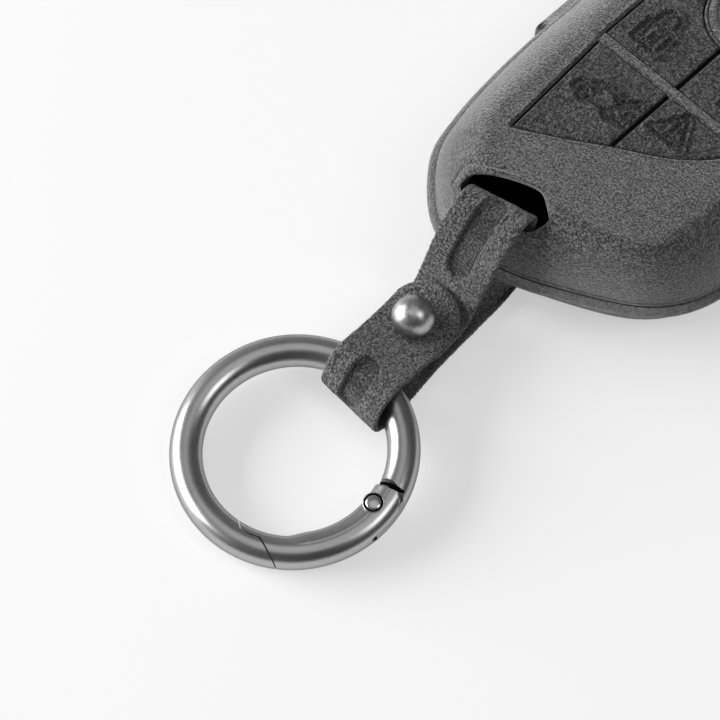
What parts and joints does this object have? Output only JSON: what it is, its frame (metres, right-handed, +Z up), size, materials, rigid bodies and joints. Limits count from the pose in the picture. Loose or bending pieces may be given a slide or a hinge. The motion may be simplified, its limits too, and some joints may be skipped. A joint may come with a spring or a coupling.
{
  "type": "key fob cover",
  "caption": "Suede key fob cover with push buttons, side squeeze pads, a buttoned strap and a spring gate ring.",
  "frame": {"origin": "centre of the part's footprint, on the surface it lies on", "axes": "+X to the right across the cover, +Y from the ring to the cover's far end, +Z up out of the buttons"},
  "size_m": [0.0516, 0.1358, 0.0188],
  "materials": {
    "cover_suede": "fine suede nap",
    "patch_suede": "fine suede nap, debossed",
    "strap_suede": "coarse suede nap",
    "strap_lining": "smooth lining, pale cut edge",
    "shell_plastic": "moulded, matt",
    "pad_rubber": "soft rubber, matt",
    "satin_metal": "satin nickel plate",
    "spring_steel": "drawn steel"
  },
  "bodies": {
    "rear_half": {"rear_shell": "shell_plastic", "rear_skin": "cover_suede"},
    "front_half": {"front_shell": "shell_plastic", "front_skin": "cover_suede", "badge_disc": "cover_suede"},
    "trunk_key": {"trunk_button": "patch_suede", "trunk_press_pad": "pad_rubber"},
    "alarm_key": {"alarm_button": "patch_suede", "alarm_press_pad": "pad_rubber"},
    "unlock_key": {"unlock_button": "patch_suede", "unlock_press_pad": "pad_rubber"},
    "lock_key": {"lock_button": "patch_suede", "lock_press_pad": "pad_rubber"},
    "left_pad": {"left_side_pad": "pad_rubber"},
    "right_pad": {"right_side_pad": "pad_rubber"},
    "strap": {"strap_face": "strap_suede", "strap_lining": "strap_lining", "stud_head": "satin_metal", "stud_screw": "satin_metal"},
    "ring": {"ring_body": "satin_metal", "gate_pin": "satin_metal"},
    "gate": {"ring_gate": "satin_metal", "gate_spring": "spring_steel"},
    "plunger": {"gate_plunger": "spring_steel"}
  },
  "joints": [
    {"name": "cover_open", "type": "hinge", "parent": "rear_half", "child": "front_half", "pos_m": [0, -0.01505, 0.0085], "axis": [1, 0, 0], "range_deg": [0, 9]},
    {"name": "trunk_press", "type": "slide", "parent": "front_half", "child": "trunk_key", "axis": [0, 0, -1], "range_m": [0, 0.0005], "stiffness_N_per_m": 600},
    {"name": "alarm_press", "type": "slide", "parent": "front_half", "child": "alarm_key", "axis": [0, 0, -1], "range_m": [0, 0.0005], "stiffness_N_per_m": 600},
    {"name": "unlock_press", "type": "slide", "parent": "front_half", "child": "unlock_key", "axis": [0, 0, -1], "range_m": [0, 0.0005], "stiffness_N_per_m": 600},
    {"name": "lock_press", "type": "slide", "parent": "front_half", "child": "lock_key", "axis": [0, 0, -1], "range_m": [0, 0.0005], "stiffness_N_per_m": 600},
    {"name": "left_squeeze", "type": "slide", "parent": "rear_half", "child": "left_pad", "axis": [1, 0, 0], "range_m": [0, 0.0008], "stiffness_N_per_m": 800},
    {"name": "right_squeeze", "type": "slide", "parent": "rear_half", "child": "right_pad", "axis": [-1, 0, 0], "range_m": [0, 0.0008], "stiffness_N_per_m": 800},
    {"name": "strap_swing", "type": "hinge", "parent": "rear_half", "child": "strap", "pos_m": [-0.00479, -0.01158, 0.0125], "axis": [-0.9983, -0.0576, 0], "range_deg": [-6, 6]},
    {"name": "ring_swing", "type": "hinge", "parent": "strap", "child": "ring", "pos_m": [-0.00334, -0.03677, 0.00425], "axis": [-0.9983, -0.0576, 0], "range_deg": [-95, 95]},
    {"name": "gate_open", "type": "hinge", "parent": "ring", "child": "gate", "pos_m": [0.01109, -0.04946, 0.00332], "axis": [-0.004, 0.0688, -0.9976], "range_deg": [0, 28], "stiffness_Nm_per_rad": 0.002},
    {"name": "plunger_slide", "type": "slide", "parent": "gate", "child": "plunger", "axis": [0.1113, -0.9914, -0.0688], "range_m": [0, 0.00038]}
  ],
  "couplings": [
    {"joint": "plunger_slide", "follows": "gate_open", "m_per_rad": 0.00077}
  ]
}
